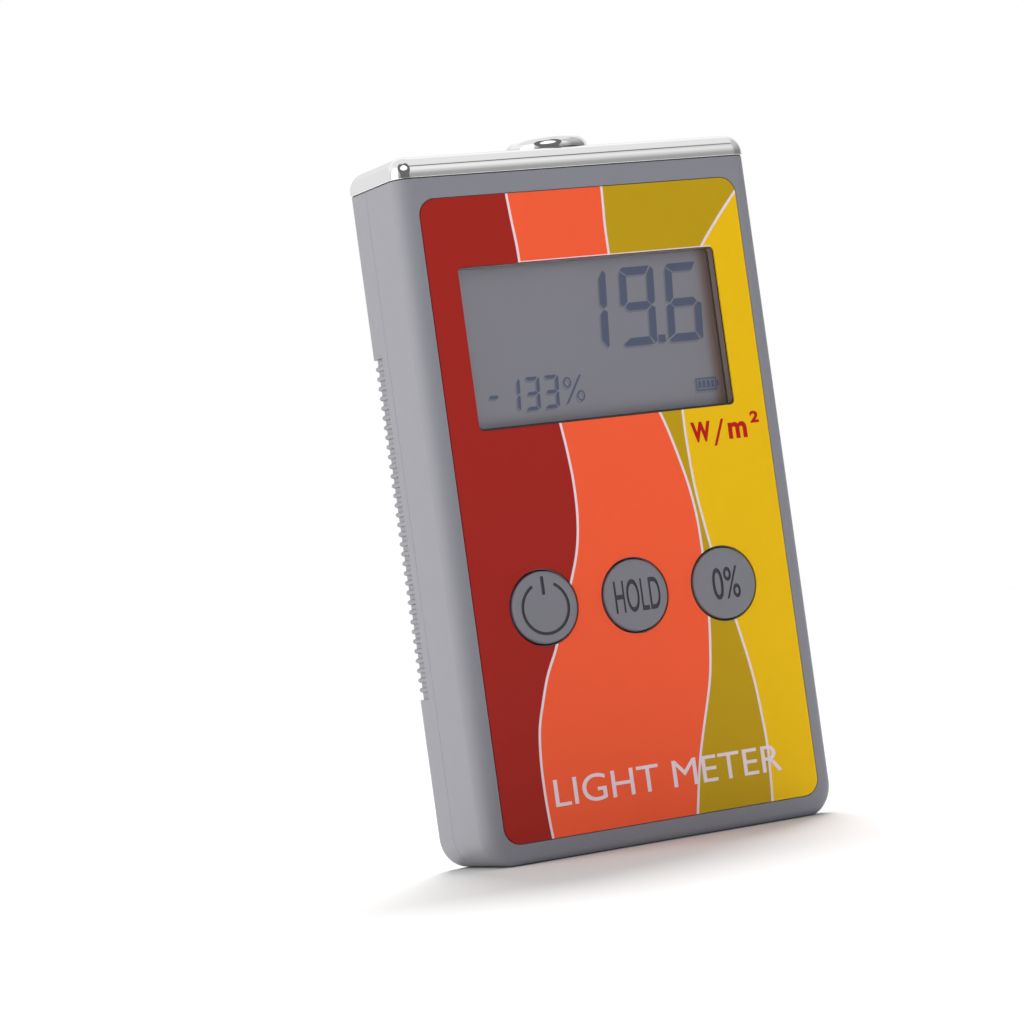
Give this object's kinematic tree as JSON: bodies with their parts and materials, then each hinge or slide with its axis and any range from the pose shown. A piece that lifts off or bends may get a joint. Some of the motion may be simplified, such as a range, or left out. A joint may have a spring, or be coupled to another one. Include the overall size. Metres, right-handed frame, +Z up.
{
  "type": "light meter",
  "caption": "Slim handheld light meter with a grey two-part case, colour-striped front film, wide LCD window, round press buttons, ribbed grips, chrome top cap and light sensor.",
  "frame": {"origin": "centre of the box around the meter, on the plane of its bottom edge, which it stands on", "axes": "+Z up the case towards the sensor, front film and buttons face -Y, +X to the right seen from the front"},
  "size_m": [0.0698, 0.021, 0.1234],
  "materials": {
    "grey_plastic": "fine satin, moulded ABS, medium grey",
    "chrome": "bright chrome plating on moulded ABS",
    "opal": "satin white opal diffuser",
    "black_plastic": "satin black moulded plastic",
    "nickel": "nickel-plated spring steel and tinned metal",
    "board_green": "satin green solder mask on glass-fibre laminate",
    "red_wire": "red PVC insulation",
    "black_wire": "black PVC insulation",
    "printed_film": "reverse-printed polyester film, satin gloss, dark red, orange, olive and yellow fields with white lines",
    "clear_acrylic": "clear moulded acrylic, polished",
    "lcd": "grey liquid-crystal panel with dark segments",
    "white_plastic": "satin natural white plastic",
    "zebra_rubber": "layered conductive silicone strip",
    "button_grey": "matt moulded plastic, darker grey, engraved legends",
    "cell_sleeve": "shrink sleeve on a steel can",
    "steel": "zinc-plated steel",
    "label_plate": "plain satin foil label"
  },
  "bodies": {
    "case": {"front_shell": "grey_plastic", "rear_shell": "grey_plastic", "top_cap": "chrome", "sensor_collar": "chrome", "sensor_diffuser": "opal", "diffuser_retainer": "black_plastic", "photodiode": "nickel", "sensor_board": "board_green", "sensor_lead_red": "red_wire", "sensor_lead_black": "black_wire", "front_overlay": "printed_film", "display_lens": "clear_acrylic", "lcd_glass": "lcd", "display_frame": "white_plastic", "zebra_strip": "zebra_rubber", "main_board": "board_green", "microcontroller": "black_plastic", "signal_amplifier": "black_plastic", "voltage_regulator": "black_plastic", "crystal": "nickel", "filter_capacitor": "black_plastic", "sensor_connector": "white_plastic", "power_switch": "black_plastic", "hold_switch": "black_plastic", "zero_switch": "black_plastic", "battery_cell_1": "cell_sleeve", "battery_spring_1": "nickel", "battery_cell_2": "cell_sleeve", "battery_spring_2": "nickel", "battery_cell_3": "cell_sleeve", "battery_spring_3": "nickel", "battery_cell_4": "cell_sleeve", "battery_spring_4": "nickel", "battery_bridge_upper_left": "nickel", "battery_bridge_upper_right": "nickel", "battery_bridge_lower": "nickel", "battery_terminal_negative": "nickel", "battery_terminal_positive": "nickel", "battery_lead_red": "red_wire", "battery_lead_black": "black_wire", "case_screw_1": "steel", "case_screw_2": "steel", "case_screw_3": "steel", "case_screw_4": "steel", "board_screw_1": "steel", "board_screw_2": "steel", "board_screw_3": "steel", "board_screw_4": "steel", "cap_screw_left": "steel", "cap_screw_right": "steel", "rear_label": "label_plate"},
    "power_button": {"power_button": "button_grey", "power_plunger": "white_plastic"},
    "hold_button": {"hold_button": "button_grey", "hold_plunger": "white_plastic"},
    "zero_button": {"zero_button": "button_grey", "zero_plunger": "white_plastic"},
    "battery_door": {"battery_door": "grey_plastic"}
  },
  "joints": [
    {"name": "power_press", "type": "slide", "parent": "case", "child": "power_button", "axis": [0, 1, 0], "range_m": [0, 0.0005], "stiffness_N_per_m": 2000, "springref_m": -0.0001},
    {"name": "hold_press", "type": "slide", "parent": "case", "child": "hold_button", "axis": [0, 1, 0], "range_m": [0, 0.0005], "stiffness_N_per_m": 2000, "springref_m": -0.0001},
    {"name": "zero_press", "type": "slide", "parent": "case", "child": "zero_button", "axis": [0, 1, 0], "range_m": [0, 0.0005], "stiffness_N_per_m": 2000, "springref_m": -0.0001},
    {"name": "battery_door_hinge", "type": "hinge", "parent": "case", "child": "battery_door", "pos_m": [0, 0.0093, 0.00695], "axis": [-1, 0, 0], "range_deg": [0, 75]}
  ]
}
